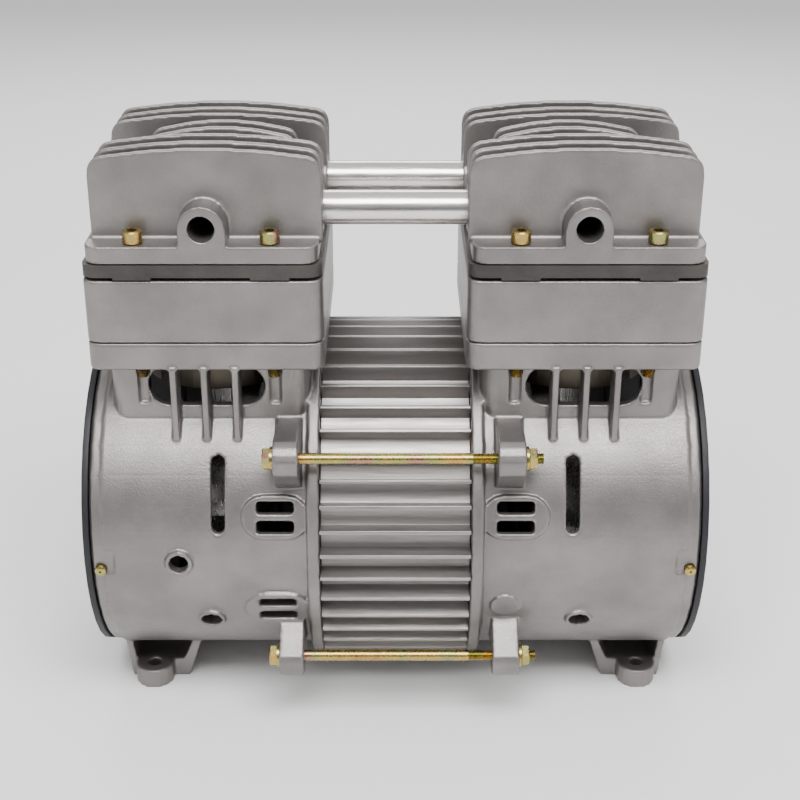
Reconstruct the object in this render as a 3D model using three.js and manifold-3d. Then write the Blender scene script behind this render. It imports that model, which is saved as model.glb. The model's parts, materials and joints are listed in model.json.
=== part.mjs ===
// Oil-free twin piston air compressor: a motor in the middle, and a crankcase, cylinder and
// finned head at each end. Millimetres, +Z up. The shaft runs along X, the feet stand on Z = 0,
// and the front of the machine faces -Y.
import * as THREE from "three";
import { mergeVertices } from "three/addons/utils/BufferGeometryUtils.js";
import Module from "manifold-3d";

const wasm = await Module();
wasm.setup();

// ---------------------------------------------------------------- driving dimensions
const gap = 0.3; // clearance between pieces that touch
const barrelSides = 36; // facets round the large and the middling circles
const boreSides = 24;
const cylinderX = 81.5; // each cylinder stands this far from the middle of the motor

const housingR = 76; // crankcase barrel, outside
const shaftHeight = housingR + 9.3; // shaft axis above the floor
const rootR = housingR - 17; // pieces that stand on the barrel start inside its wall
const wall = 3.5; // casting wall
const barrelEnd = 135; // outer rim of the crankcase barrel
const rimR = housingR - 1.2;
const rimWidth = 5.6;
const rimChamfer = 1.5;
const motorFlangeR = housingR + 4.5;
const motorFlangeWidth = 5.4;
const webX = [61.3, 70]; // web between motor and crank

const statorHalf = 33.2; // half length of the finned motor shell
const finTipR = motorFlangeR + 0.8;
const finRootR = finTipR - 8.8;
const shellBoreR = finRootR - 5.5;
const finCount = 45;
const finThickness = 1.7;

const neckHalf = { x: 43.6, y: 49, wall: 4.8, cornerR: 7 }; // neck that carries the cylinder
const deckHalf = { x: 51, y: 56 }; // bolting flange on top of the neck
const deckZ = housingR + 8.1;
const deckThickness = 12.2;
const blockHeight = 28.4;
const valvePlateHeight = 6.6;
const headFlangeHeight = 7.6;
const finHeight = 38.5;
const cornerR = 6;

const boreR = 33;
const sleeveWall = 2.4;
const sleeveFoot = deckZ - 18; // lower end of the cylinder sleeve, above the shaft axis
const crankThrow = 7;
const pistonPlay = 0.7;
// The rod stays upright, so the piston head swings sideways by the throw.
const pistonR = boreR - crankThrow - pistonPlay;

const screwR = 2.5; // M5 screws and through bolts
const screwHole = screwR + 0.35;
const headScrewAt = { x: 28.8, y: 49.8 };
const screwTip = 5.4; // thread showing under the deck
const screwGroove = { r: 3.2, length: 19 };
const boltAngles = [34.3, -33.2]; // through bolts above and below the shaft level, in degrees
const boltStandOff = 14;
const boltCircleR = housingR + boltStandOff;
// Where the bolt ears start and end along the shaft.
const ears = {
  left: [statorHalf + 8.3, statorHalf + 19.3],
  right: [statorHalf + 10.8, statorHalf + 22.8],
};

const footHole = { x: 116.5, y: 41, r: 3.25 };
const tubeR = 7.5;
const tubeWall = 1.5;
const tubeY = 23.4;
const tubeEnd = cylinderX - 41; // the tube stops in a socket of the head
const portR = 5.7;
const portBossR = 10;

const shaftR = 8.5;
const journalR = 6; // shaft ends that carry the eccentrics and fans
const bearing = { r: 20, width: 10, x: 65 };
const rodBearing = { inner: 15, outer: 27.5, width: 13 };
const rodWidth = 12;

// Heights above the shaft axis, each one resting on the one before.
const blockZ = deckZ + deckThickness + gap;
const valveZ = blockZ + blockHeight + gap;
const headZ = valveZ + valvePlateHeight + gap;
const shelfZ = headZ + headFlangeHeight;
const tubeZ = shelfZ + 7.4;
const portZ = shelfZ + 7.5;
const portX = cylinderX - 0.7;
const coverX = barrelEnd + gap;
const coverThickness = 2.7;

// ---------------------------------------------------------------- solids
const V = (x, y) => new THREE.Vector2(x, y);

function solid(geometry) {
  const flat = new THREE.BufferGeometry();
  const source = geometry.index ? geometry.toNonIndexed() : geometry;
  flat.setAttribute("position", source.getAttribute("position").clone());
  const merged = mergeVertices(flat, 1e-4);
  return new wasm.Manifold(
    new wasm.Mesh({
      numProp: 3,
      vertProperties: merged.attributes.position.array,
      triVerts: new Uint32Array(merged.index.array),
    }),
  );
}

function toGeometry(manifold) {
  const m = manifold.getMesh();
  const g = new THREE.BufferGeometry();
  g.setAttribute("position", new THREE.BufferAttribute(new Float32Array(m.vertProperties), 3));
  g.setIndex(new THREE.BufferAttribute(new Uint32Array(m.triVerts), 1));
  return g;
}

const joinAll = (parts) => parts.reduce((a, b) => a.add(b));
const cutAll = (body, cutters) => cutters.reduce((a, b) => a.subtract(b), body);

// A box between two corners.
function block(x0, x1, y0, y1, z0, z1) {
  const g = new THREE.BoxGeometry(x1 - x0, y1 - y0, z1 - z0);
  return solid(g.translate((x0 + x1) / 2, (y0 + y1) / 2, (z0 + z1) / 2));
}

// Cylinders along each axis, from a to b along it.
function rodX(r, a, b, y = 0, z = 0, sides = 16) {
  const g = new THREE.CylinderGeometry(r, r, b - a, sides).rotateZ(-Math.PI / 2);
  return solid(g.translate((a + b) / 2, y, z));
}
function rodY(r, a, b, x = 0, z = 0, sides = 16) {
  const g = new THREE.CylinderGeometry(r, r, b - a, sides);
  return solid(g.translate(x, (a + b) / 2, z));
}
function rodZ(r, a, b, x = 0, y = 0, sides = 16) {
  const g = new THREE.CylinderGeometry(r, r, b - a, sides).rotateX(Math.PI / 2);
  return solid(g.translate(x, y, (a + b) / 2));
}

// A shape drawn in the plane of Y and Z, extruded along X.
function extrudeX(shape, x0, x1, steps = 8) {
  const g = new THREE.ExtrudeGeometry(shape, { depth: x1 - x0, bevelEnabled: false, curveSegments: steps });
  const turn = new THREE.Matrix4().makeBasis(
    new THREE.Vector3(0, 1, 0),
    new THREE.Vector3(0, 0, 1),
    new THREE.Vector3(1, 0, 0),
  );
  return solid(g.applyMatrix4(turn).translate(x0, 0, 0));
}

// A shape drawn in the plane of X and Z, extruded along Y.
function extrudeY(shape, y0, y1, steps = 8) {
  const g = new THREE.ExtrudeGeometry(shape, { depth: y1 - y0, bevelEnabled: false, curveSegments: steps });
  return solid(g.rotateX(Math.PI / 2).translate(0, y1, 0));
}

// A rectangle in X and Y with round corners, standing from z0 to z1.
function roundedPlate(halfX, halfY, r, z0, z1, x = 0) {
  const s = new THREE.Shape();
  s.moveTo(-halfX + r, -halfY);
  s.lineTo(halfX - r, -halfY);
  s.absarc(halfX - r, -halfY + r, r, -Math.PI / 2, 0);
  s.lineTo(halfX, halfY - r);
  s.absarc(halfX - r, halfY - r, r, 0, Math.PI / 2);
  s.lineTo(-halfX + r, halfY);
  s.absarc(-halfX + r, halfY - r, r, Math.PI / 2, Math.PI);
  s.lineTo(-halfX, -halfY + r);
  s.absarc(-halfX + r, -halfY + r, r, Math.PI, 1.5 * Math.PI);
  const g = new THREE.ExtrudeGeometry(s, { depth: z1 - z0, bevelEnabled: false, curveSegments: 2 });
  return solid(g.translate(x, 0, z0));
}

// A solid of revolution about X. Points are [x, radius], and run so that the faces point outwards.
function turnedX(points, sides = 24) {
  const g = new THREE.LatheGeometry(points.map(([x, r]) => V(r, x)), sides);
  return solid(g.rotateZ(-Math.PI / 2));
}

// Puts a solid that was made along +X, at the front, round the shaft axis by an elevation in degrees.
function atElevation(geometry, degrees) {
  const side = new THREE.Matrix4().makeRotationX(THREE.MathUtils.degToRad(-degrees));
  return solid(geometry.applyMatrix4(side));
}

// A disc whose axis is radial: it stands on the barrel at the front, from radius r0 to r1.
function radialRod(r, r0, r1, x, degrees, sides = 10) {
  const g = new THREE.CylinderGeometry(r, r, r1 - r0, sides).translate(x, -(r0 + r1) / 2, 0);
  return atElevation(g, degrees);
}

// A slab with fully round ends across X, standing radially on the barrel.
function radialPad(halfX, halfZ, r0, r1, x, degrees, round = halfZ) {
  const s = new THREE.Shape();
  s.moveTo(-halfX + round, -halfZ);
  s.lineTo(halfX - round, -halfZ);
  s.absarc(halfX - round, -halfZ + round, round, -Math.PI / 2, 0);
  s.absarc(halfX - round, halfZ - round, round, 0, Math.PI / 2);
  s.lineTo(-halfX + round, halfZ);
  s.absarc(-halfX + round, halfZ - round, round, Math.PI / 2, Math.PI);
  s.absarc(-halfX + round, -halfZ + round, round, Math.PI, 1.5 * Math.PI);
  const g = new THREE.ExtrudeGeometry(s, { depth: r1 - r0, bevelEnabled: false, curveSegments: 2 });
  return atElevation(g.rotateX(Math.PI / 2).translate(x, -r0, 0), degrees);
}

const colours = {
  casting: [0x9c9793, 0.45, 0.75],
  plate: [0x33302f, 0.6, 0.2],
  cover: [0x17171c, 0.5, 0],
  zinc: [0xb59a4d, 0.35, 0.9],
  tube: [0xb4aea6, 0.3, 1],
  steel: [0x8d8d90, 0.35, 1],
  lamination: [0x5f6063, 0.5, 0.9],
  copper: [0x9c4f22, 0.4, 0.8],
  sleeve: [0x7d6a4c, 0.4, 0.8],
  seal: [0x3d2f27, 0.6, 0],
  plastic: [0x1d1d20, 0.5, 0],
};
const materials = Object.fromEntries(
  Object.entries(colours).map(([name, [color, roughness, metalness]]) => [
    name,
    new THREE.MeshStandardMaterial({ name, color, roughness, metalness }),
  ]),
);

function piece(name, manifold, material) {
  const mesh = new THREE.Mesh(toGeometry(manifold), materials[material]);
  mesh.name = name;
  return mesh;
}

// ---------------------------------------------------------------- motor
// Extruded shell: one closed outline with a square-ended fin at each step.
function statorShell() {
  const points = [];
  for (let i = 0; i < finCount; i += 1) {
    const a = (i * 2 * Math.PI) / finCount;
    const fin = [
      [finRootR, -0.6],
      [finTipR, -0.5],
      [finTipR, 0.5],
      [finRootR, 0.6],
    ];
    fin.forEach(([r, t]) => {
      const side = t * finThickness;
      points.push(V(Math.cos(a) * r - Math.sin(a) * side, Math.sin(a) * r + Math.cos(a) * side));
    });
  }
  const shell = extrudeX(new THREE.Shape(points), -statorHalf, statorHalf, 1);
  return shell.subtract(rodX(shellBoreR, -statorHalf - 1, statorHalf + 1, 0, 0, barrelSides));
}

const coreHalf = 27;
const coreBoreR = 36;
const coreSlot = { count: 12, depth: 16, width: 6, r: coreBoreR + 11 };
const rotorR = coreBoreR - 0.6;

function statorCore() {
  const ring = rodX(shellBoreR - gap, -coreHalf, coreHalf, 0, 0, barrelSides).subtract(
    rodX(coreBoreR, -coreHalf - 1, coreHalf + 1, 0, 0, boreSides),
  );
  const cutters = [];
  for (let i = 0; i < coreSlot.count; i += 1) {
    const g = new THREE.BoxGeometry(2 * coreHalf + 2, coreSlot.depth, coreSlot.width);
    cutters.push(atElevation(g.translate(0, coreSlot.r, 0), (i * 360) / coreSlot.count));
  }
  return cutAll(ring, cutters);
}

// The copper that stands out of the core, with rounded shoulders.
const windingReach = 14;
function windingEnd() {
  const x0 = coreHalf + gap;
  const x1 = x0 + windingReach;
  const [inside, outside] = [coreBoreR + 4, shellBoreR - 8];
  return turnedX(
    [
      [x0, inside],
      [x0, outside],
      [x1 - 4, outside - 1],
      [x1, outside - 6],
      [x1, inside + 5],
      [x1 - 4, inside + 1],
      [x0, inside],
    ],
    20,
  );
}

// ---------------------------------------------------------------- crankcase
const boltPlaces = boltAngles.flatMap((degrees) => {
  const a = THREE.MathUtils.degToRad(degrees);
  const y = boltCircleR * Math.cos(a);
  const z = boltCircleR * Math.sin(a);
  return [
    { y: -y, z },
    { y, z },
  ];
});

// A lug that carries a through bolt: round outside the bolt, and running into the barrel above and below it.
const earR = 9;
const earFrom = 26; // degrees above or below the shaft level
const earTo = { upper: 50, lower: 42 };
const earRound = [-0.5, 1.75]; // stretch of the outer round, in radians
function boltEar({ y, z }, [x0, x1]) {
  const side = Math.sign(y);
  const up = Math.sign(z);
  const far = THREE.MathUtils.degToRad(up > 0 ? earTo.upper : earTo.lower);
  const near = THREE.MathUtils.degToRad(earFrom);
  const s = new THREE.Shape();
  const inside = 0.93 * housingR; // well into the barrel's wall
  s.moveTo(inside * Math.cos(far), inside * Math.sin(far));
  s.lineTo(inside * Math.cos(near), inside * Math.sin(near));
  s.lineTo(housingR * Math.cos(near), housingR * Math.sin(near));
  s.absarc(Math.abs(y), Math.abs(z), earR, ...earRound);
  s.lineTo(housingR * Math.cos(far), housingR * Math.sin(far));
  s.closePath();
  const turned = new THREE.Shape(s.getPoints(3).map((p) => V(side * p.x, up * p.y)));
  return extrudeX(turned, x0, x1);
}

// A pedestal under the barrel, hollow and open to the outside, with a lug that has the fixing hole.
const pedestal = { x: [91, 131], foot: [100, 128], y: [18, 39], top: 19 - housingR, wall: 2.8 };
const lug = { r: 9.2, height: 9.4 };

function trapezoid(inset, bottom) {
  return new THREE.Shape([
    V(pedestal.foot[0] + inset, bottom),
    V(pedestal.foot[1] - inset, bottom),
    V(pedestal.x[1] - inset, pedestal.top),
    V(pedestal.x[0] + inset, pedestal.top),
  ]);
}

// The same stretch of Y on the front (side = -1) or the rear (side = 1).
const across = (side, near, far) => (side < 0 ? [-far, -near] : [near, far]);

function foot(side) {
  const low = -shaftHeight;
  const [y0, y1] = pedestal.y;
  const stand = extrudeY(trapezoid(0, low), ...across(side, y0, y1));
  const pocket = extrudeY(trapezoid(pedestal.wall, low + lug.height), ...across(side, y0 + 4, y1 + 1));
  const pad = block(
    footHole.x - lug.r, footHole.x + lug.r, ...across(side, y0 + 1, footHole.y), low, low + lug.height,
  );
  const boss = rodZ(lug.r, low, low + lug.height, footHole.x, side * footHole.y, 16);
  return joinAll([stand.subtract(pocket), pad, boss]);
}

const windowHalf = 25.7;
const windowZ = [deckZ - 19.9, deckZ - 1.1];
const windowX = cylinderX + 1.4;
const ribPitch = 13.45;
const ribThickness = 3.1;
const ribFront = 57;
const ribFoot = Math.sqrt(housingR ** 2 - ribFront ** 2) - 3;

function neckWindow() {
  const [z0, z1] = windowZ;
  const r = (z1 - z0) / 2;
  const s = new THREE.Shape();
  s.absarc(windowX + windowHalf - r, z0 + r, r, -Math.PI / 2, Math.PI / 2);
  s.absarc(windowX - windowHalf + r, z0 + r, r, Math.PI / 2, 1.5 * Math.PI);
  return extrudeY(s, -housingR, housingR, 4);
}

const coolingPad = { halfX: 15, halfZ: 10, x: statorHalf + 19.6, proud: 1.5 };
const coolingSlot = { length: 16.4, width: 5.6, rise: 4.4 };
const keySlot = { x: cylinderX - 3.5, z: [13.4, 45.3], r: 2.95 };
const coverScrewDrop = 3.98; // below the shaft level
const coverScrewAngle = -THREE.MathUtils.radToDeg(Math.asin(coverScrewDrop / housingR));
// The rim steps inwards round each cover screw.
const screwNotch = { x: barrelEnd - rimWidth - 1.2, halfX: 4, halfZ: 6, depth: 5, round: 0.5 };
const neckHollowFoot = 30;
const bearingSeatWall = 6;
const frontAndRear = (degrees) => [degrees, 180 - degrees];

// One crankcase, drawn at +X. The two sides differ only in their small bosses.
function crankcase({ ear, padAngles, bosses }) {
  const inner = housingR - wall;
  const x0 = statorHalf + gap;
  const barrel = turnedX([
    [x0, 0],
    [x0, motorFlangeR],
    [x0 + motorFlangeWidth, motorFlangeR],
    [x0 + motorFlangeWidth, housingR],
    [barrelEnd - rimWidth, housingR],
    [barrelEnd - rimWidth, rimR],
    [barrelEnd - rimChamfer, rimR],
    [barrelEnd, rimR - rimChamfer],
    [barrelEnd, 0],
  ], barrelSides);
  const neck = roundedPlate(neckHalf.x, neckHalf.y, neckHalf.cornerR, 0, deckZ + 1, cylinderX);
  const deck = roundedPlate(deckHalf.x, deckHalf.y, cornerR, deckZ, deckZ + deckThickness, cylinderX);
  const pads = padAngles.map((angle) =>
    radialPad(coolingPad.halfX, coolingPad.halfZ, rootR, housingR + coolingPad.proud, coolingPad.x, angle),
  );
  const outside = joinAll([
    barrel,
    neck,
    deck,
    ...boltPlaces.map((place) => boltEar(place, ear)),
    foot(-1),
    foot(1),
    ...pads,
    ...bosses.map(({ x, angle, r, proud }) => radialRod(r, rootR, housingR + proud, x, angle)),
  ]);
  const hollow = joinAll([
    rodX(inner, webX[1], barrelEnd + 1, 0, 0, barrelSides),
    rodX(inner, statorHalf - 1, webX[0], 0, 0, barrelSides),
    block(
      cylinderX - neckHalf.x + wall, cylinderX + neckHalf.x - wall,
      -neckHalf.y + neckHalf.wall, neckHalf.y - neckHalf.wall, neckHollowFoot, deckZ,
    ),
  ]);
  // The web carries the main bearing, and stops below the cylinder sleeve.
  const underSleeve = block(0, barrelEnd, -housingR, housingR, -housingR, sleeveFoot - 2);
  const web = rodX(inner + 1, ...webX, 0, 0, barrelSides).intersect(underSleeve);
  const seatR = bearing.r + bearingSeatWall;
  const seat = rodX(seatR, bearing.x - bearing.width / 2, webX[1], 0, 0, 20);
  const ribs = [-1, 1].flatMap((side) =>
    [-1, 0, 1].map((i) => {
      const x = windowX + i * ribPitch;
      const depth = across(side, neckHalf.y - neckHalf.wall, ribFront);
      return block(x - ribThickness / 2, x + ribThickness / 2, ...depth, ribFoot, deckZ + 1);
    }),
  );
  const deckTop = deckZ + deckThickness + 1;
  const screwPlaces = headScrewPlaces();
  const openings = [
    rodZ(boreR + sleeveWall + gap, deckZ - 2, deckTop, cylinderX, 0, boreSides),
    rodX(bearing.r + gap, webX[0] - 5, webX[1] + 1, 0, 0, 20),
    ...boltPlaces.map(({ y, z }) => rodX(screwHole, ear[0] - 1, ear[1] + 1, y, z, 8)),
    ...screwPlaces.map(({ x, y }) => rodZ(screwHole, deckZ - 1, deckTop, x, y, 8)),
    ...screwPlaces.map(({ x, y }) => rodZ(screwGroove.r, deckZ - screwGroove.length, deckZ, x, y, 8)),
    ...[-1, 1].map((side) =>
      rodZ(footHole.r, -shaftHeight - 1, -shaftHeight + lug.height + 1, footHole.x, side * footHole.y, 10),
    ),
    ...padAngles.flatMap(coolingSlots),
    ...bosses
      .filter(({ hole }) => hole)
      .map(({ x, angle, hole }) => radialRod(hole, rootR, housingR + 6, x, angle, 8)),
    accessSlot(),
    ...frontAndRear(0).map((angle) => {
      const { x, halfX, halfZ, depth, round } = screwNotch;
      return radialPad(halfX, halfZ, rimR, rimR + depth, x, angle, round);
    }),
    ...frontAndRear(coverScrewAngle).map(coverScrewHole),
  ];
  const shell = outside.subtract(hollow).subtract(neckWindow());
  return cutAll(joinAll([shell, web, seat, ...ribs]), openings);
}

const coverScrewHole = (degrees) =>
  radialRod(coverScrew.r + gap, rootR, rimR + 2, coverScrew.x, degrees, 10);

function headScrewPlaces() {
  return [-1, 1].flatMap((sx) =>
    [-1, 1].map((sy) => ({ x: cylinderX + sx * headScrewAt.x, y: sy * headScrewAt.y })),
  );
}

// Two rectangular vents, one over the other, in a cooling pad.
function coolingSlots(degrees) {
  const { length, width, rise } = coolingSlot;
  return [-rise, rise].map((z) => {
    const g = new THREE.BoxGeometry(length, 30, width).translate(coolingPad.x, -housingR + 4, z);
    return atElevation(g, degrees);
  });
}

// The tall slot that gives a key access to the eccentric's grub screw, front and back.
function accessSlot() {
  const s = new THREE.Shape();
  const { x, z, r } = keySlot;
  s.absarc(x, z[1] - r, r, 0, Math.PI);
  s.absarc(x, z[0] + r, r, Math.PI, 2 * Math.PI);
  return extrudeY(s, -housingR - 3, housingR + 3, 3);
}

// ---------------------------------------------------------------- cylinder and head
function cylinderBlock() {
  const body = roundedPlate(deckHalf.x, deckHalf.y, cornerR, blockZ, blockZ + blockHeight, cylinderX);
  const clearance = rodZ(boreR + sleeveWall + gap, blockZ - 1, valveZ + 1, cylinderX, 0, boreSides);
  const holes = headScrewPlaces().map(({ x, y }) => rodZ(screwHole, blockZ - 1, valveZ, x, y, 8));
  return cutAll(body, [clearance, ...holes]);
}

function cylinderSleeve() {
  const outer = rodZ(boreR + sleeveWall, sleeveFoot, valveZ - gap, cylinderX, 0, boreSides);
  return outer.subtract(rodZ(boreR, sleeveFoot - 1, valveZ, cylinderX, 0, boreSides));
}

const chamber = { x: 30, y: 28, height: 13 };
const valveHoleR = 5;
const valveAt = 13; // intake and exhaust stand this far either side of the bore axis
const reedThickness = 0.5;
// Shallow gaps along the front and back edges of the valve plate, between the screw seats.
const edgeGap = { x: [[-60, -37], [-20.5, 21.4], [37.4, 60]], from: deckHalf.y - 5, height: 1.1 };

function valvePlate() {
  const top = valveZ + valvePlateHeight;
  const plate = roundedPlate(deckHalf.x - 0.3, deckHalf.y + 0.5, cornerR, valveZ, top, cylinderX);
  const gaps = edgeGap.x.flatMap(([a, b]) =>
    [-1, 1].map((s) => {
      const depth = across(s, edgeGap.from, deckHalf.y + 1);
      return block(cylinderX + a, cylinderX + b, ...depth, valveZ - 1, valveZ + edgeGap.height);
    }),
  );
  const holes = headScrewPlaces().map(({ x, y }) => rodZ(screwHole, valveZ - 1, top + 1, x, y, 8));
  const valves = [-1, 1].map((s) => rodZ(valveHoleR, valveZ - 1, top + 1, cylinderX + s * valveAt, 0, 10));
  return cutAll(plate, [...gaps, ...holes, ...valves]);
}

// A spring steel tongue over a valve hole.
const reedHalf = 6;
function reed(offset, z) {
  const x = cylinderX + offset;
  return block(x - reedHalf, x + reedHalf, -8, boreR - 13, z, z + reedThickness);
}

const finPitch = 12;
const finPlate = 3.5;
const finPlates = 8;
const wideFin = [-50.5, 47.2]; // from the cylinder axis
const narrowFin = [-38.5, 27.5];

// The outline of one cooling fin: upright sides, round shoulders and a low crown.
function finShape([from, to]) {
  const shoulder = 7;
  const crown = 4;
  const lift = 0.8; // where the shoulder meets the crown
  const top = shelfZ + finHeight - crown;
  const [x0, x1] = [cylinderX + from, cylinderX + to];
  const s = new THREE.Shape();
  s.moveTo(x0, shelfZ - 2);
  s.lineTo(x1, shelfZ - 2);
  s.lineTo(x1, top - shoulder);
  s.quadraticCurveTo(x1, top, x1 - shoulder, top + lift);
  s.quadraticCurveTo((x0 + x1) / 2, top + 2 * crown - lift, x0 + shoulder, top + lift);
  s.quadraticCurveTo(x0, top, x0, top - shoulder);
  s.closePath();
  return s;
}

const headCore = { x: 37, y: 36, height: 16 };
const socketWall = 2.6;

function head() {
  const flange = roundedPlate(deckHalf.x - 1.8, deckHalf.y, cornerR, headZ, shelfZ, cylinderX);
  const core = block(
    cylinderX - headCore.x, cylinderX + headCore.x, -headCore.y, headCore.y,
    shelfZ - 1, shelfZ + headCore.height,
  );
  const fins = [];
  const middle = (finPlates - 1) / 2;
  for (let i = 0; i < finPlates; i += 1) {
    const y = (i - middle) * finPitch;
    const span = Math.abs(i - middle) < 1 ? narrowFin : wideFin;
    fins.push(extrudeY(finShape(span), y - finPlate / 2, y + finPlate / 2, 5));
  }
  const ports = [-1, 1].flatMap((s) => {
    const [a, b] = across(s, 30, deckHalf.y);
    return [
      rodY(portBossR, a, b, portX, portZ, 16),
      block(portX - portBossR, portX + portBossR, a, b, headZ + 1, portZ),
    ];
  });
  const sockets = [-1, 1].map((s) =>
    rodX(tubeR + socketWall, cylinderX + wideFin[0], cylinderX - 30, s * tubeY, tubeZ, 16),
  );
  const outside = joinAll([flange, core, ...fins, ...ports, ...sockets]);
  const mouth = cylinderX - deckHalf.x - 1;
  const inChamber = cylinderX - chamber.x + 4;
  const cuts = [
    block(
      cylinderX - chamber.x, cylinderX + chamber.x, -chamber.y, chamber.y,
      headZ - 1, shelfZ + chamber.height,
    ),
    rodY(portR, -deckHalf.y - 1, -chamber.y + 8, portX, portZ, 16),
    ...[-1, 1].flatMap((s) => [
      rodX(tubeR + gap, mouth, tubeEnd + 0.5, s * tubeY, tubeZ, 16),
      rodX(tubeR - tubeWall, mouth, inChamber, s * (tubeY - 2), tubeZ, 10),
    ]),
    ...headScrewPlaces().map(({ x, y }) => rodZ(screwHole, headZ - 1, shelfZ + 1, x, y, 8)),
  ];
  return cutAll(outside, cuts);
}

function transferTube(y) {
  const outer = rodX(tubeR, -tubeEnd, tubeEnd, y, tubeZ, 20);
  return outer.subtract(rodX(tubeR - tubeWall, -tubeEnd - 1, tubeEnd + 1, y, tubeZ, 16));
}

// ---------------------------------------------------------------- fasteners
const socketHead = { r: 4.3, height: 5.3, key: 2.3, floor: 2.4 };

function headScrew({ x, y }) {
  const tip = deckZ - screwTip;
  const z = shelfZ + gap;
  const shank = rodZ(screwR, tip, z + 1, x, y, 8);
  const cap = rodZ(socketHead.r, z, z + socketHead.height, x, y, 12);
  const key = rodZ(socketHead.key, z + socketHead.floor, z + socketHead.height + 1, x, y, 6);
  return shank.add(cap).subtract(key);
}

const nut = { r: 5, height: 3.6 };
const washer = { r: 5.4, height: 1 };
const hexHead = { r: 5, height: 4.4, collarR: 5.2, collarHeight: 1.2 };
const threadPastNut = 3;

function throughBolt({ y, z }) {
  const seat = -ears.left[1] - gap;
  const tip = ears.right[1] + washer.height + nut.height + threadPastNut;
  const shank = rodX(screwR, seat, tip, y, z, 10);
  const collar = rodX(hexHead.collarR, seat - hexHead.collarHeight, seat, y, z, 12);
  const hex = rodX(hexHead.r, seat - hexHead.height, seat, y, z, 6);
  return joinAll([shank, collar, hex]);
}

function throughNut({ y, z }) {
  const x = ears.right[1] + gap;
  const top = x + washer.height;
  const disc = rodX(washer.r, x, top, y, z, 12);
  const hex = rodX(nut.r, top, top + nut.height, y, z, 6);
  return disc.add(hex).subtract(rodX(screwR + gap, x - 1, top + nut.height + 1, y, z, 10));
}

const coverScrew = { r: 1.6, head: 2.6, headHeight: 2, reach: 10, x: barrelEnd - 4 };
function endCoverScrew(degrees) {
  const seat = rimR + gap;
  const { r, head: headR, headHeight, reach, x } = coverScrew;
  const shank = radialRod(r, housingR - reach, seat + 1, x, degrees, 10);
  const cap = radialRod(headR, seat, seat + headHeight, x, degrees, 10);
  return shank.add(cap);
}

// Shallow cover over the fan, with a ring of radial air slots.
const coverLip = { length: 9, wall: 2.5 };
const coverSlot = { count: 14, length: 34, width: 6.6, depth: 12, r: 44 };
function endCover() {
  const disc = rodX(rimR, coverX, coverX + coverThickness, 0, 0, barrelSides);
  const lipR = housingR - wall - 1;
  const lip = rodX(lipR, coverX - coverLip.length, coverX + 1, 0, 0, barrelSides).subtract(
    rodX(lipR - coverLip.wall, coverX - coverLip.length - 1, coverX + 0.5, 0, 0, barrelSides),
  );
  const { count, length, width, depth, r } = coverSlot;
  const slots = [];
  for (let i = 0; i < count; i += 1) {
    const g = new THREE.BoxGeometry(depth, length, width).translate(coverX + 2, r, 0);
    slots.push(atElevation(g, (i * 360) / count));
  }
  return cutAll(disc.add(lip), [...slots, ...frontAndRear(coverScrewAngle).map(coverScrewHole)]);
}

// ---------------------------------------------------------------- crank train
function shaft() {
  const end = barrelEnd - 6;
  const step = bearing.x + bearing.width / 2;
  return turnedX(
    [
      [-end, 0],
      [-end, journalR],
      [-step, journalR],
      [-step, shaftR],
      [step, shaftR],
      [step, journalR],
      [end, journalR],
      [end, 0],
    ],
    20,
  );
}

function rotor() {
  const half = coreHalf - 1;
  const ringEnd = half + 5; // a short-circuit ring stands out at each end
  const body = joinAll([
    rodX(rotorR, -half, half, 0, 0, boreSides),
    rodX(rotorR - 4, -ringEnd, ringEnd, 0, 0, boreSides),
  ]);
  return body.subtract(rodX(shaftR + gap, -ringEnd - 1, ringEnd + 1, 0, 0, 20));
}

function mainBearing() {
  const half = bearing.width / 2;
  const ring = rodX(bearing.r, bearing.x - half, bearing.x + half, 0, 0, 20);
  return ring.subtract(rodX(shaftR + gap, bearing.x - half - 1, bearing.x + half + 1, 0, 0, 20));
}

// The eccentric, its bearing and the rod share a centre that stands off the shaft by the throw.
const crankSpan = [cylinderX - 25, cylinderX + 25]; // wider than any piece on the eccentric
const counterweight = { r: 24, width: 6, lean: 1.5 };
function eccentric(rise) {
  const half = rodBearing.width / 2 + 1.5;
  const outer = cylinderX + half;
  const disc = rodX(rodBearing.inner - gap, cylinderX - half, outer, 0, rise, 20);
  const { r, width, lean } = counterweight;
  const weight = rodX(r, outer - 0.5, outer + width, 0, -rise * lean, 20);
  return disc.add(weight).subtract(rodX(journalR + gap, ...crankSpan, 0, 0, 16));
}

function bigEndBearing(rise) {
  const half = rodBearing.width / 2;
  const ring = rodX(rodBearing.outer, cylinderX - half, cylinderX + half, 0, rise, 24);
  return ring.subtract(rodX(rodBearing.inner, ...crankSpan, 0, rise, 20));
}

const pistonTopDeadCentre = valveZ - 1.5; // clears the intake reed
const rodLength = pistonTopDeadCentre - crankThrow;
const retainerHeight = 2.5;
const cupHeight = 2;
const crownHeight = 6;
const eyeWall = 4.5;
const shankHalf = { x: 4.5, y: 10 };

function connectingRod(rise) {
  const half = rodWidth / 2;
  const crown = rise + rodLength - retainerHeight - cupHeight;
  const eye = rodX(rodBearing.outer + eyeWall, cylinderX - half, cylinderX + half, 0, rise, 24);
  const shank = block(
    cylinderX - shankHalf.x, cylinderX + shankHalf.x, -shankHalf.y, shankHalf.y,
    rise + rodBearing.outer - 2.5, crown - crownHeight / 2,
  );
  const plate = rodZ(pistonR, crown - crownHeight, crown, cylinderX, 0, 24);
  const seat = rodX(rodBearing.outer + gap, ...crankSpan, 0, rise, 24);
  return joinAll([eye, shank, plate]).subtract(seat);
}

function pistonCup(rise) {
  const z = rise + rodLength - retainerHeight - cupHeight + gap;
  return rodZ(pistonR + 0.3, z, z + cupHeight - gap, cylinderX, 0, 24);
}

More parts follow.
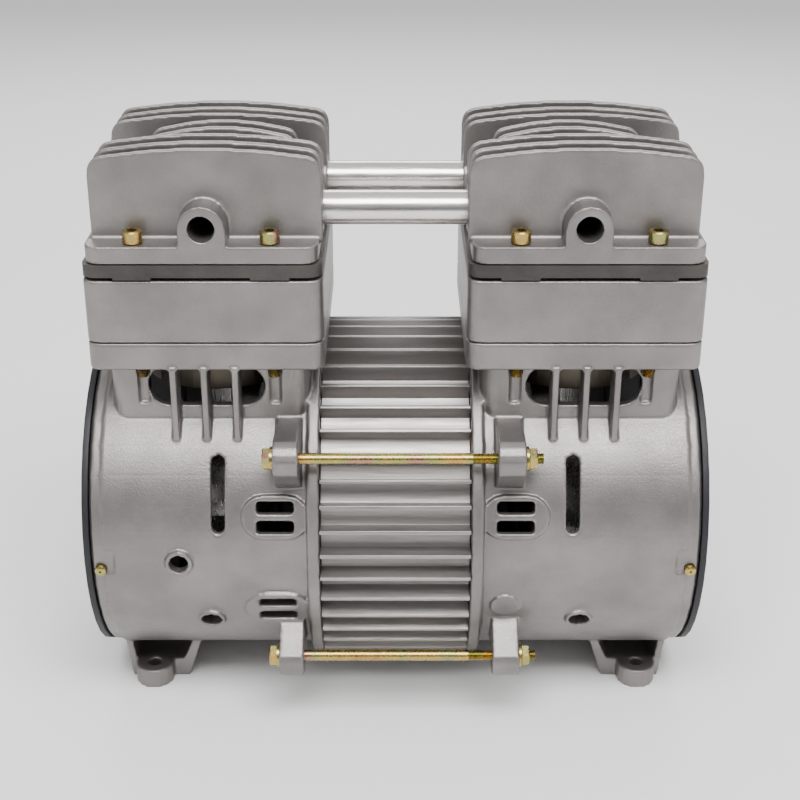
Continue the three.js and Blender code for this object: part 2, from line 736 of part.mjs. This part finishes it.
function cupRetainer(rise) {
  const z = rise + rodLength - retainerHeight + gap;
  return rodZ(pistonR - 2, z, z + retainerHeight - gap, cylinderX, 0, 24);
}

// Cooling fan: a hub with broad blades, on the shaft end behind the cover.
const fanHub = { r: 14, width: 14, x: barrelEnd - 32 };
const fanBlade = { count: 8, chord: 13, thickness: 2, twist: 0.5, from: 12, to: housingR - 12 };
function fan() {
  const { x: x0, r, width } = fanHub;
  const hub = rodX(r, x0, x0 + width, 0, 0, 16);
  const { count, chord, thickness, twist, from, to } = fanBlade;
  const blades = [];
  for (let i = 0; i < count; i += 1) {
    const g = new THREE.BoxGeometry(chord, to - from, thickness).rotateY(twist);
    blades.push(atElevation(g.translate(x0 + width / 2, (from + to) / 2, 0), (i * 360) / count));
  }
  return joinAll([hub, ...blades]).subtract(rodX(journalR + gap, x0 - 2, x0 + width + 2, 0, 0, 16));
}

// ---------------------------------------------------------------- assembly
const compressor = new THREE.Group();
compressor.position.z = shaftHeight;
compressor.add(
  piece("motor_shell", statorShell(), "casting"),
  piece("stator_core", statorCore(), "lamination"),
  piece("rotor", rotor(), "lamination"),
  piece("motor_shaft", shaft(), "steel"),
  piece("transfer_tube_front", transferTube(-tubeY), "tube"),
  piece("transfer_tube_rear", transferTube(tubeY), "tube"),
);
boltPlaces.forEach((place, i) => {
  const where = `${place.z > 0 ? "upper" : "lower"}_${place.y < 0 ? "front" : "rear"}`;
  compressor.add(
    piece(`through_bolt_${where}`, throughBolt(place), "zinc"),
    piece(`through_nut_${where}`, throughNut(place), "zinc"),
  );
});

// Each end is drawn at +X; the left one is its mirror image, with its crank half a turn away.
const holeBoss = { r: 6.4, proud: 2 };
const lowerHole = { ...holeBoss, x: cylinderX + 2.1, angle: -26, hole: 4.9 };
const cableHole = { ...holeBoss, x: cylinderX + 14.4, angle: 0, hole: 4.45 };
const plainBoss = { r: 6.9, proud: 1.5, x: statorHalf + 16.2, angle: -18.5 };
const padAngle = 16.2;
const ends = [
  {
    side: "left",
    mirror: -1,
    rise: crankThrow,
    ear: ears.left,
    padAngles: [...frontAndRear(padAngle), -20],
    bosses: [cableHole, lowerHole],
  },
  {
    side: "right",
    mirror: 1,
    rise: -crankThrow,
    ear: ears.right,
    padAngles: frontAndRear(padAngle),
    bosses: [plainBoss, lowerHole],
  },
];
for (const end of ends) {
  const group = new THREE.Group();
  const { side, rise } = end;
  group.scale.x = end.mirror;
  group.add(
    piece(`crankcase_${side}`, crankcase(end), "casting"),
    piece(`stator_winding_${side}`, windingEnd(), "copper"),
    piece(`end_cover_${side}`, endCover(), "cover"),
    piece(`cylinder_block_${side}`, cylinderBlock(), "casting"),
    piece(`cylinder_sleeve_${side}`, cylinderSleeve(), "sleeve"),
    piece(`valve_plate_${side}`, valvePlate(), "plate"),
    piece(`cylinder_head_${side}`, head(), "casting"),
    piece(`intake_reed_${side}`, reed(-valveAt, valveZ - gap - reedThickness), "steel"),
    piece(`exhaust_reed_${side}`, reed(valveAt, headZ), "steel"),
    piece(`main_bearing_${side}`, mainBearing(), "steel"),
    piece(`eccentric_${side}`, eccentric(rise), "steel"),
    piece(`rod_bearing_${side}`, bigEndBearing(rise), "steel"),
    piece(`connecting_rod_${side}`, connectingRod(rise), "casting"),
    piece(`piston_cup_${side}`, pistonCup(rise), "seal"),
    piece(`cup_retainer_${side}`, cupRetainer(rise), "casting"),
    piece(`cooling_fan_${side}`, fan(), "plastic"),
    piece(`cover_screw_${side}_front`, endCoverScrew(coverScrewAngle), "zinc"),
    piece(`cover_screw_${side}_rear`, endCoverScrew(180 - coverScrewAngle), "zinc"),
  );
  headScrewPlaces().forEach((place) => {
    const where = `${place.x < cylinderX ? "inner" : "outer"}_${place.y < 0 ? "front" : "rear"}`;
    group.add(piece(`head_screw_${side}_${where}`, headScrew(place), "zinc"));
  });
  compressor.add(group);
}

export default compressor;
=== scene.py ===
# %% [markdown]
# # A twin piston air compressor
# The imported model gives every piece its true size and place. This lesson gives the pieces
# the rounded edges, threads and surface finishes that the drawing leaves plain.

# %% Load the frame
import json
import math

import bmesh
import bpy
import numpy
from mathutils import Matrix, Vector


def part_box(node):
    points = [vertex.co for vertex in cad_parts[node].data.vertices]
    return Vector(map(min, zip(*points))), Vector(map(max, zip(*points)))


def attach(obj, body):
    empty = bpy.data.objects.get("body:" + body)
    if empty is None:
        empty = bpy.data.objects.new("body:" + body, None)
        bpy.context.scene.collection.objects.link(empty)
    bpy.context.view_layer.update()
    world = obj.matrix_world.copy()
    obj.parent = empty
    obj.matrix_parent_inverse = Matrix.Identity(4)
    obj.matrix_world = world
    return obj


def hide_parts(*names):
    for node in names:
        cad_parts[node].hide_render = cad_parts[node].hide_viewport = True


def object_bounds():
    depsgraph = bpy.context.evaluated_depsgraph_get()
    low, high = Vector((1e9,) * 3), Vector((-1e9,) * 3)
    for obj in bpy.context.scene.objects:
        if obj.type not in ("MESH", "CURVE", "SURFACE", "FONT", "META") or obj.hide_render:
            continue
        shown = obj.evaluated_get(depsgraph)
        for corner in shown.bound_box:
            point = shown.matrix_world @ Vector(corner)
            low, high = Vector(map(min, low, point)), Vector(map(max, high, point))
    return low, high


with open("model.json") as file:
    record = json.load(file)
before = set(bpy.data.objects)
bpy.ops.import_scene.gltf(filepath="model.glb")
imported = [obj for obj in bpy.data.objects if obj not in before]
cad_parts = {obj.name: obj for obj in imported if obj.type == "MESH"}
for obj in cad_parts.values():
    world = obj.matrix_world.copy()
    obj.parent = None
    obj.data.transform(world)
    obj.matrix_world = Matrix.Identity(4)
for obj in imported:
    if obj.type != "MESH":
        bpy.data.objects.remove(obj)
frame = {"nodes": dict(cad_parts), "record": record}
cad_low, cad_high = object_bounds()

nodes = frame["nodes"]
MM = 0.001
SIDES = ("left", "right")
shaft_low, shaft_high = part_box("motor_shaft")
AXIS_Z = (shaft_low[2] + shaft_high[2]) / 2
print("CAD box", [round(v, 4) for v in cad_low], [round(v, 4) for v in cad_high])


# %% [markdown]
# Most steps act on one object, so a helper makes one object the only selected one. A second
# helper applies an object's place and turn to its mesh, so that each piece ends at the origin.

# %% Small helpers
def only(obj):
    bpy.ops.object.select_all(action="DESELECT")
    obj.select_set(True)
    bpy.context.view_layer.objects.active = obj


def apply_place(obj):
    only(obj)
    bpy.ops.object.transform_apply(location=True, rotation=True, scale=True)


def apply_modifiers(obj):
    only(obj)
    for name in [m.name for m in obj.modifiers]:
        bpy.ops.object.modifier_apply(modifier=name)


def centre(node):
    low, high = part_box(node)
    return (Vector(low) + Vector(high)) / 2


# %% [markdown]
# Every finish is built from the same few nodes: noise on object coordinates, a colour ramp
# for the tint, a spread of roughness, and a bump. Building them with one function keeps the
# finishes alike where the real ones are alike.

# %% Building a finish
def new_finish(name, metallic):
    mat = bpy.data.materials.new(name)
    mat.use_nodes = True
    tree = mat.node_tree
    shader = tree.nodes["Principled BSDF"]
    shader.inputs["Metallic"].default_value = metallic
    shader.inputs["Specular IOR Level"].default_value = 0.5
    coords = tree.nodes.new("ShaderNodeTexCoord")
    return mat, tree, shader, coords


def noise(tree, coords, scale, stretch=None):
    tex = tree.nodes.new("ShaderNodeTexNoise")
    tex.inputs["Scale"].default_value = scale
    tex.inputs["Detail"].default_value = 4.0
    if stretch is None:
        tree.links.new(coords.outputs["Object"], tex.inputs["Vector"])
    else:
        mapping = tree.nodes.new("ShaderNodeMapping")
        mapping.inputs["Scale"].default_value = stretch
        tree.links.new(coords.outputs["Object"], mapping.inputs["Vector"])
        tree.links.new(mapping.outputs["Vector"], tex.inputs["Vector"])
    return tex.outputs["Fac"]


def ramp(tree, value, stops):
    node = tree.nodes.new("ShaderNodeValToRGB")
    while len(node.color_ramp.elements) < len(stops):
        node.color_ramp.elements.new(0.5)
    for element, (place, colour) in zip(node.color_ramp.elements, stops):
        element.position = place
        element.color = (*colour, 1)
    tree.links.new(value, node.inputs["Fac"])
    return node.outputs["Color"]


def spread(tree, value, low, high):
    node = tree.nodes.new("ShaderNodeMapRange")
    node.inputs["From Min"].default_value = 0.3
    node.inputs["From Max"].default_value = 0.7
    node.inputs["To Min"].default_value = low
    node.inputs["To Max"].default_value = high
    tree.links.new(value, node.inputs["Value"])
    return node.outputs["Result"]


def bump(tree, shader, value, depth):
    node = tree.nodes.new("ShaderNodeBump")
    node.inputs["Strength"].default_value = 1.0
    node.inputs["Distance"].default_value = depth
    tree.links.new(value, node.inputs["Height"])
    tree.links.new(node.outputs["Normal"], shader.inputs["Normal"])


def finish(name, metallic, stops, rough, grain, depth, cloud=45.0, stretch=None):
    mat, tree, shader, coords = new_finish(name, metallic)
    tint = ramp(tree, noise(tree, coords, cloud, stretch=stretch), stops)
    tree.links.new(tint, shader.inputs["Base Color"])
    fine = noise(tree, coords, grain, stretch=stretch)
    tree.links.new(spread(tree, fine, *rough), shader.inputs["Roughness"])
    bump(tree, shader, fine, depth)
    return mat


# %% [markdown]
# The castings are grit blasted aluminium: a warm silver with a fine, even grain that breaks
# up every reflection. The motor shell is the same metal, extruded, so its marks run along it.
# The fasteners carry a yellow passivation whose colour drifts between gold, green and pink.

# %% The finishes
FINISHES = {
    "cast_aluminium": finish(
        "cast_aluminium", 0.85, [(0.3, (0.195, 0.182, 0.177)), (0.7, (0.265, 0.249, 0.242))],
        (0.34, 0.50), 1500, 0.00012,
    ),
    "extruded_aluminium": finish(
        "extruded_aluminium", 0.85, [(0.3, (0.29, 0.276, 0.267)), (0.7, (0.38, 0.362, 0.350))],
        (0.30, 0.48), 700, 0.00006, stretch=(0.06, 1, 1),
    ),
    "black_plastic": finish(
        "black_plastic", 0.0, [(0.3, (0.004, 0.004, 0.007)), (0.7, (0.008, 0.008, 0.012))],
        (0.5, 0.65), 1800, 0.00005,
    ),
    "dark_plate": finish(
        "dark_plate", 0.3, [(0.3, (0.030, 0.027, 0.025)), (0.7, (0.060, 0.053, 0.048))],
        (0.45, 0.65), 1300, 0.00008,
    ),
    "yellow_zinc": finish(
        "yellow_zinc", 1.0,
        [
            (0.3, (0.38, 0.22, 0.07)), (0.45, (0.48, 0.33, 0.10)),
            (0.58, (0.31, 0.31, 0.11)), (0.7, (0.38, 0.21, 0.14)),
        ],
        (0.20, 0.36), 900, 0.00002, cloud=70.0,
    ),
    "polished_tube": finish(
        "polished_tube", 1.0, [(0.3, (0.66, 0.63, 0.60)), (0.7, (0.80, 0.77, 0.74))],
        (0.16, 0.30), 900, 0.00002, stretch=(0.08, 1, 1),
    ),
    "hard_anodised": finish(
        "hard_anodised", 0.6, [(0.3, (0.14, 0.12, 0.09)), (0.7, (0.22, 0.19, 0.15))],
        (0.4, 0.5), 1200, 0.00003,
    ),
    "piston_seal": finish(
        "piston_seal", 0.0, [(0.3, (0.05, 0.035, 0.028)), (0.7, (0.09, 0.065, 0.05))],
        (0.5, 0.65), 1200, 0.00004,
    ),
    "machined_aluminium": finish(
        "machined_aluminium", 0.95, [(0.3, (0.52, 0.50, 0.48)), (0.7, (0.64, 0.62, 0.60))],
        (0.22, 0.38), 1000, 0.00003, stretch=(1, 1, 0.1),
    ),
    "fan_plastic": finish(
        "fan_plastic", 0.0, [(0.3, (0.012, 0.012, 0.013)), (0.7, (0.022, 0.022, 0.024))],
        (0.4, 0.55), 1500, 0.00004,
    ),
    "copper_winding": finish(
        "copper_winding", 0.9, [(0.3, (0.38, 0.14, 0.05)), (0.7, (0.56, 0.24, 0.09))],
        (0.25, 0.4), 500, 0.0003, stretch=(1, 0.25, 0.25),
    ),
    "laminated_steel": finish(
        "laminated_steel", 0.9, [(0.3, (0.18, 0.18, 0.19)), (0.7, (0.28, 0.28, 0.29))],
        (0.35, 0.5), 1600, 0.0002, stretch=(1, 0.02, 0.02),
    ),
    "bright_steel": finish(
        "bright_steel", 1.0, [(0.3, (0.46, 0.46, 0.47)), (0.7, (0.58, 0.58, 0.60))],
        (0.16, 0.3), 1100, 0.00002,
    ),
}
print(len(FINISHES), "finishes")


def dress(obj, slot_name):
    obj.data.materials.clear()
    obj.data.materials.append(FINISHES[slot_name])


def place_piece(piece, body, slot_name, *replaced):
    dress(piece, slot_name)
    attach(piece, body)
    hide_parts(*replaced)


# %% [markdown]
# Carried-over pieces keep the shape of the drawing and get their finish by slot. The drawing's
# record says which slot each node has, so one loop dresses them all.

# %% Finishes on the drawing's own pieces
for entry in frame["record"]["subparts"]:
    obj = nodes[entry["node"]]
    dress(obj, entry["material_slot"])
    only(obj)
    bpy.ops.object.shade_smooth_by_angle(angle=math.radians(25))


# %% [markdown]
# A casting has no sharp edge anywhere, and its corners run into each other in soft fillets. The
# drawing's solid is copied, its loose triangles are merged, and it is rebuilt from small cubes.
# Smoothing rounds every edge at once, as the mould does, and a last pass thins the flat areas.
# The drawing's barrels are many-sided, so their faces are moved out to the true circle.

# %% Castings
def merged_copy(node, name):
    piece = nodes[node].copy()
    piece.data = nodes[node].data.copy()
    piece.name = name
    bpy.context.collection.objects.link(piece)
    only(piece)
    bpy.ops.object.mode_set(mode="EDIT")
    bpy.ops.mesh.select_all(action="SELECT")
    bpy.ops.mesh.remove_doubles(threshold=1e-6)
    bpy.ops.object.mode_set(mode="OBJECT")
    return piece


BARREL_SIDES = 36  # facets round a barrel in the drawing, with a corner straight above the axis
FACET = 2 * math.pi / BARREL_SIDES
SKIN = 0.12 * MM  # how far a point may lie off a facet and still count as its skin


def round_barrel(piece, radii):
    # Only skin that faces away from the shaft, and lies on one of the barrel's circles, is moved.
    mesh = piece.data
    count = len(mesh.vertices)
    place = numpy.empty(count * 3)
    facing = numpy.empty(count * 3)
    mesh.vertices.foreach_get("co", place)
    mesh.vertices.foreach_get("normal", facing)
    place = place.reshape(-1, 3)
    facing = facing.reshape(-1, 3)
    y, z = place[:, 1], place[:, 2] - AXIS_Z
    reach = numpy.hypot(y, z)
    outward = (facing[:, 1] * y + facing[:, 2] * z) / numpy.maximum(reach, 1e-6)
    from_middle = numpy.arctan2(y, z) % FACET - FACET / 2
    flat = math.cos(FACET / 2) / numpy.cos(from_middle)
    for radius in radii:
        on_skin = (numpy.abs(reach - radius * flat) < SKIN) & (outward > 0.9)
        grow = numpy.where(on_skin, 1 / flat, 1.0)
        place[:, 1] = y * grow
        place[:, 2] = z * grow + AXIS_Z
        y, z = place[:, 1], place[:, 2] - AXIS_Z
    mesh.vertices.foreach_set("co", place.ravel())
    mesh.update()


def casting(node, voxel, passes, keep, radii=()):
    piece = merged_copy(node, node + "_casting")
    rebuild = piece.modifiers.new("rebuild", "REMESH")
    rebuild.mode = "VOXEL"
    rebuild.voxel_size = voxel
    soften = piece.modifiers.new("soften", "SMOOTH")
    soften.factor = 0.5
    soften.iterations = passes
    apply_modifiers(piece)
    round_barrel(piece, radii)
    thin = piece.modifiers.new("thin", "DECIMATE")
    thin.ratio = keep
    apply_modifiers(piece)
    bpy.ops.object.shade_smooth()
    place_piece(piece, "housing", "cast_aluminium", node)
    print(piece.name, len(piece.data.polygons), "faces")


cover_low, cover_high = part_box("end_cover_left")
RIM_R = (cover_high[1] - cover_low[1]) / 2
BARREL_R = RIM_R + 1.2 * MM  # the rim is a step smaller than the barrel
FLANGE_R = BARREL_R + 4.5 * MM  # the flange that meets the motor stands proud of it
for side in SIDES:
    casting(f"crankcase_{side}", 0.75 * MM, 3, 0.25, (RIM_R, BARREL_R, FLANGE_R))
    casting(f"cylinder_head_{side}", 0.65 * MM, 3, 0.3)
    casting(f"cylinder_block_{side}", 0.8 * MM, 4, 0.3)


# %% [markdown]
# The extruded shell, the valve plates and the end covers have crisp edges with a small radius.
# Their flat faces are joined first, so that a bevel meets clean edges.

# %% Crisp pieces with broken edges
def broken_edges(node, radius, slot_name):
    piece = merged_copy(node, node + "_finished")
    bpy.ops.object.mode_set(mode="EDIT")
    bpy.ops.mesh.select_all(action="SELECT")
    bpy.ops.mesh.dissolve_limited(angle_limit=math.radians(1))
    bpy.ops.object.mode_set(mode="OBJECT")
    edge = piece.modifiers.new("edge", "BEVEL")
    edge.width = radius
    edge.segments = 2
    edge.limit_method = "ANGLE"
    edge.angle_limit = math.radians(35)
    edge.harden_normals = False
    apply_modifiers(piece)
    bpy.ops.object.shade_smooth_by_angle(angle=math.radians(30))
    place_piece(piece, "housing", slot_name, node)
    print(piece.name, len(piece.data.polygons), "faces")


broken_edges("motor_shell", 0.3 * MM, "extruded_aluminium")
for side in SIDES:
    broken_edges(f"valve_plate_{side}", 0.5 * MM, "dark_plate")
    broken_edges(f"end_cover_{side}", 0.6 * MM, "black_plastic")


# %% [markdown]
# A thread is drawn as by hand: a disc is extruded half a pitch at a time, and scaled down and up
# again in turn. At this size the eye reads the ridges as a thread, with no helix to model.

# %% Turned shapes along Z
def start_disc(radius, sides=24):
    bpy.ops.object.select_all(action="DESELECT")
    bpy.ops.mesh.primitive_circle_add(vertices=sides, radius=radius, fill_type="NGON")
    bpy.ops.object.mode_set(mode="EDIT")
    bpy.ops.mesh.select_all(action="SELECT")


def pull(height):
    bpy.ops.mesh.extrude_region_move(TRANSFORM_OT_translate={"value": (0, 0, height)})


def widen(factor):
    bpy.ops.transform.resize(value=(factor, factor, 1))


def thread(radius, length, pitch):
    depth = 1 - 0.55 * pitch / radius
    for _ in range(max(1, round(length / pitch))):
        pull(pitch / 2)
        widen(depth)
        pull(pitch / 2)
        widen(1 / depth)


def end_shape(name):
    bpy.ops.mesh.select_all(action="SELECT")
    bpy.ops.mesh.normals_make_consistent(inside=False)
    bpy.ops.object.mode_set(mode="OBJECT")
    obj = bpy.context.active_object
    obj.name = name
    return obj


def reshape(reach_at):
    # Each selected point keeps its angle, and moves to the reach that its angle asks for.
    mesh = bmesh.from_edit_mesh(bpy.context.active_object.data)
    for vert in [v for v in mesh.verts if v.select]:
        angle = math.atan2(vert.co.y, vert.co.x)
        reach = reach_at(angle)
        vert.co.x = reach * math.cos(angle)
        vert.co.y = reach * math.sin(angle)
    bmesh.update_edit_mesh(bpy.context.active_object.data)


def hexagon_top(radius):
    flat = radius * math.cos(math.pi / 6)
    reshape(lambda angle: flat / math.cos((angle % (math.pi / 3)) - math.pi / 6))


def round_to(radius):
    reshape(lambda angle: radius)


def used_height():
    mesh = bmesh.from_edit_mesh(bpy.context.active_object.data)
    return max(v.co.z for v in mesh.verts)


# %% [markdown]
# A socket head screw starts at its tip, runs up as thread and shank, and opens into the head. The
# key recess is an inset of the top, squared into a hexagon and pushed down.

# %% Head screws
screw_low, screw_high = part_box("head_screw_left_inner_front")
HEAD_R = (screw_high[0] - screw_low[0]) / 2
HEAD_HEIGHT = 5.3 * MM
HEAD_EDGE = 0.3 * MM  # rounding under the head
HEAD_CHAMFER = 0.5 * MM
KEY_R = 2.35 * MM
KEY_LAND = 0.1 * MM  # the inset that becomes the key recess is this much wider than it
KEY_DEPTH = 2.7 * MM
SHANK_R = 2.5 * MM
TIP = 0.4 * MM
PITCH = 0.8 * MM
shank_length = screw_high[2] - screw_low[2] - HEAD_HEIGHT
thread_length = 16 * MM


def socket_screw():
    start_disc(SHANK_R * 0.8)
    pull(TIP)
    widen(1.25)
    thread(SHANK_R, thread_length, PITCH)
    pull(shank_length - TIP - round(thread_length / PITCH) * PITCH)
    pull(0)
    widen((HEAD_R - HEAD_EDGE) / SHANK_R)
    pull(HEAD_EDGE)
    widen(HEAD_R / (HEAD_R - HEAD_EDGE))
    pull(HEAD_HEIGHT - HEAD_EDGE - HEAD_CHAMFER)
    pull(HEAD_CHAMFER)
    widen((HEAD_R - HEAD_CHAMFER) / HEAD_R)
    bpy.ops.mesh.inset(thickness=HEAD_R - HEAD_CHAMFER - KEY_R - KEY_LAND)
    hexagon_top(KEY_R)
    pull(-KEY_DEPTH)
    return end_shape("socket_screw")


def copy_to(pattern, name, turn, move):
    piece = pattern.copy()
    piece.data = pattern.data.copy()
    piece.name = name
    bpy.context.collection.objects.link(piece)
    piece.rotation_euler = turn
    piece.location = move
    apply_place(piece)
    bpy.ops.object.shade_smooth_by_angle(angle=math.radians(32))
    return piece


pattern = socket_screw()
for index, node in enumerate(sorted(n for n in nodes if n.startswith("head_screw_"))):
    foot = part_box(node)[0][2]
    turn = 0.31 * index  # each key recess stopped at its own angle
    spot = centre(node)
    piece = copy_to(pattern, node + "_finished", (0, 0, turn), (spot.x, spot.y, foot))
    place_piece(piece, "housing", "yellow_zinc", node)
bpy.data.objects.remove(pattern)


# %% [markdown]
# The through bolts clamp both crankcases onto the motor shell. Each is a plain rod with a hexagon
# head at the left and a long thread at the right, where the nut and washer sit.

# %% Through bolts and nuts
bolt_low, bolt_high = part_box("through_bolt_upper_front")
bolt_length = bolt_high[0] - bolt_low[0]
BOLT_HEAD = 3.2 * MM
BOLT_HEAD_R = 4.6 * MM
COLLAR = 1.2 * MM
COLLAR_R = 5.2 * MM
BOLT_THREAD = 30 * MM


def through_bolt():
    start_disc(BOLT_HEAD_R)
    hexagon_top(BOLT_HEAD_R + 0.05 * MM)
    pull(TIP)
    widen(1.08)
    pull(BOLT_HEAD - TIP)
    pull(0)
    round_to(COLLAR_R)
    pull(COLLAR)
    pull(0)
    widen(SHANK_R / COLLAR_R)
    pull(bolt_length - BOLT_HEAD - COLLAR - BOLT_THREAD - TIP)
    thread(SHANK_R, BOLT_THREAD, PITCH)
    pull(bolt_length - used_height())
    widen(0.8)
    return end_shape("through_bolt")


NUT_R = 5 * MM
WASHER_R = 5.4 * MM
WASHER = 1.0 * MM
CHAMFER = 0.4 * MM


def nut_with_washer(height):
    start_disc(WASHER_R)
    pull(WASHER)
    pull(0)
    hexagon_top(NUT_R * 0.94)
    pull(CHAMFER)
    hexagon_top(NUT_R)
    pull(height - WASHER - 2 * CHAMFER)
    pull(CHAMFER)
    widen(0.93)
    return end_shape("through_nut")


ALONG_X = (0, math.pi / 2, 0)
bolt_pattern = through_bolt()
nut_low, nut_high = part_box("through_nut_upper_front")
nut_pattern = nut_with_washer(nut_high[0] - nut_low[0])
for level in ("upper", "lower"):
    for face in ("front", "rear"):
        for kind, pattern in (("bolt", bolt_pattern), ("nut", nut_pattern)):
            node = f"through_{kind}_{level}_{face}"
            spot = centre(node)
            start = (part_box(node)[0][0], spot.y, spot.z)
            piece = copy_to(pattern, node + "_finished", ALONG_X, start)
            place_piece(piece, "housing", "yellow_zinc", node)
bpy.data.objects.remove(bolt_pattern)
bpy.data.objects.remove(nut_pattern)


# %% [markdown]
# A cover screw is a pan head with a small round recess, driven radially through the crankcase rim
# into the cover's lip.

# %% Cover screws
SCREW_R = 1.6 * MM
SCREW_HEAD_R = 2.6 * MM
SCREW_HEAD = 2 * MM


def outwards_from_shaft(node):
    spot = centre(node)
    return Vector((0, spot.y, spot.z - AXIS_Z)).normalized()


def reach_from_shaft(node):
    # How far the screw's tip and the top of its head are from the shaft axis.
    outwards = outwards_from_shaft(node)
    reaches = [vert.co.dot(outwards) - AXIS_Z * outwards.z for vert in nodes[node].data.vertices]
    return min(reaches), max(reaches)


def pan_screw(length):
    start_disc(0.8 * SCREW_R)
    pull(0.6 * MM)
    widen(1.25)
    thread(SCREW_R, 0.6 * length, 0.9 * MM)
    pull(length - SCREW_HEAD - used_height())
    pull(0)
    widen(SCREW_HEAD_R / SCREW_R)
    pull(0.9 * MM)
    for rise, factor in ((0.5, 0.93), (0.35, 0.8), (0.2, 0.6)):
        pull(rise * MM)
        widen(factor)
    pull(0.05 * MM)
    widen(0.5)
    pull(-0.8 * MM)
    widen(0.6)
    return end_shape("pan_screw")


tip, top = reach_from_shaft("cover_screw_left_front")
pattern = pan_screw(top - tip)
for side in SIDES:
    for face in ("front", "rear"):
        node = f"cover_screw_{side}_{face}"
        outwards = outwards_from_shaft(node)
        turn = outwards.to_track_quat("Z", "X").to_euler()
        start = Vector((centre(node).x, 0, AXIS_Z)) + outwards * tip
        piece = copy_to(pattern, node + "_finished", turn, start)
        place_piece(piece, "housing", "yellow_zinc", node)
bpy.data.objects.remove(pattern)


# %% [markdown]
# The transfer tubes are drawn tube, so they are the brightest metal here. Each is a cylinder with
# one end cap inset and pushed in, which gives it a wall there. Both ends are hidden in the heads.

# %% Transfer tubes
TUBE_EDGE = 0.3 * MM
TUBE_WALL = 1.2 * MM
TUBE_DEPTH = 12 * MM  # far enough into the head to look open


def tube(node):
    low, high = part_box(node)
    radius = (high[2] - low[2]) / 2
    length = high[0] - low[0]
    start_disc(radius - TUBE_EDGE, 48)
    pull(TUBE_EDGE)
    widen(radius / (radius - TUBE_EDGE))
    pull(length - 2 * TUBE_EDGE)
    pull(TUBE_EDGE)
    widen((radius - TUBE_EDGE) / radius)
    bpy.ops.mesh.inset(thickness=TUBE_WALL)
    pull(-TUBE_DEPTH)
    obj = end_shape("tube")
    piece = copy_to(obj, node + "_finished", ALONG_X, (low[0], centre(node).y, centre(node).z))
    bpy.data.objects.remove(obj)
    place_piece(piece, "housing", "polished_tube", node)


tube("transfer_tube_front")
tube("transfer_tube_rear")


# %% [markdown]
# The floor is pale and plain. One broad light from above and in front models the fins, a softer one
# fills each side, and one from behind lifts the rear edges. The sky is bright overhead and dim at
# the horizon, so upright faces stay darker than the tops.

# %% Stage, lights and camera
bpy.ops.object.select_all(action="DESELECT")
bpy.ops.mesh.primitive_plane_add(size=12, location=(0, 0, cad_low[2]))
floor = bpy.context.active_object
floor.name = "floor"
floor_finish, _, floor_shader, _ = new_finish("floor_paint", 0.0)
floor_shader.inputs["Base Color"].default_value = (0.86, 0.86, 0.86, 1)
floor_shader.inputs["Roughness"].default_value = 0.8
floor.data.materials.append(floor_finish)


AIM = (0, 0, 0.12)


def softbox(name, place, size, power):
    light = bpy.data.objects.new(name, bpy.data.lights.new(name, "AREA"))
    light.data.shape = "RECTANGLE"
    light.data.size, light.data.size_y = size
    light.data.energy = power
    light.location = place
    light.rotation_euler = (Vector(AIM) - Vector(place)).to_track_quat("-Z", "Y").to_euler()
    bpy.context.collection.objects.link(light)


softbox("key", (0.1, -0.75, 1.35), (1.3, 0.6), 34)
softbox("left_fill", (-1.3, -0.6, 0.7), (0.7, 0.9), 4)
softbox("right_fill", (1.3, -0.6, 0.7), (0.7, 0.9), 4)
softbox("back", (0, 1.2, 0.9), (1.4, 0.6), 12)

world = bpy.data.worlds.new("studio")
bpy.context.scene.world = world
world.use_nodes = True
sky = world.node_tree.nodes["Background"]
sky.inputs["Color"].default_value = (1, 0.99, 0.98, 1)
direction = world.node_tree.nodes.new("ShaderNodeTexCoord")
split = world.node_tree.nodes.new("ShaderNodeSeparateXYZ")
rise = world.node_tree.nodes.new("ShaderNodeMapRange")
rise.inputs["To Min"].default_value = 0.12
rise.inputs["To Max"].default_value = 1.0
links = world.node_tree.links
links.new(direction.outputs["Generated"], split.inputs["Vector"])
links.new(split.outputs["Z"], rise.inputs["Value"])
links.new(rise.outputs["Result"], sky.inputs["Strength"])

camera = bpy.data.objects.new("camera", bpy.data.cameras.new("camera"))
camera.data.lens = 67.5
camera.data.sensor_width = 36
camera.data.shift_x = 0.00575
camera.location = (0, -0.650, AXIS_Z + 0.342)
camera.rotation_euler = (math.radians(65.4), 0, 0)
bpy.context.collection.objects.link(camera)
bpy.context.scene.camera = camera
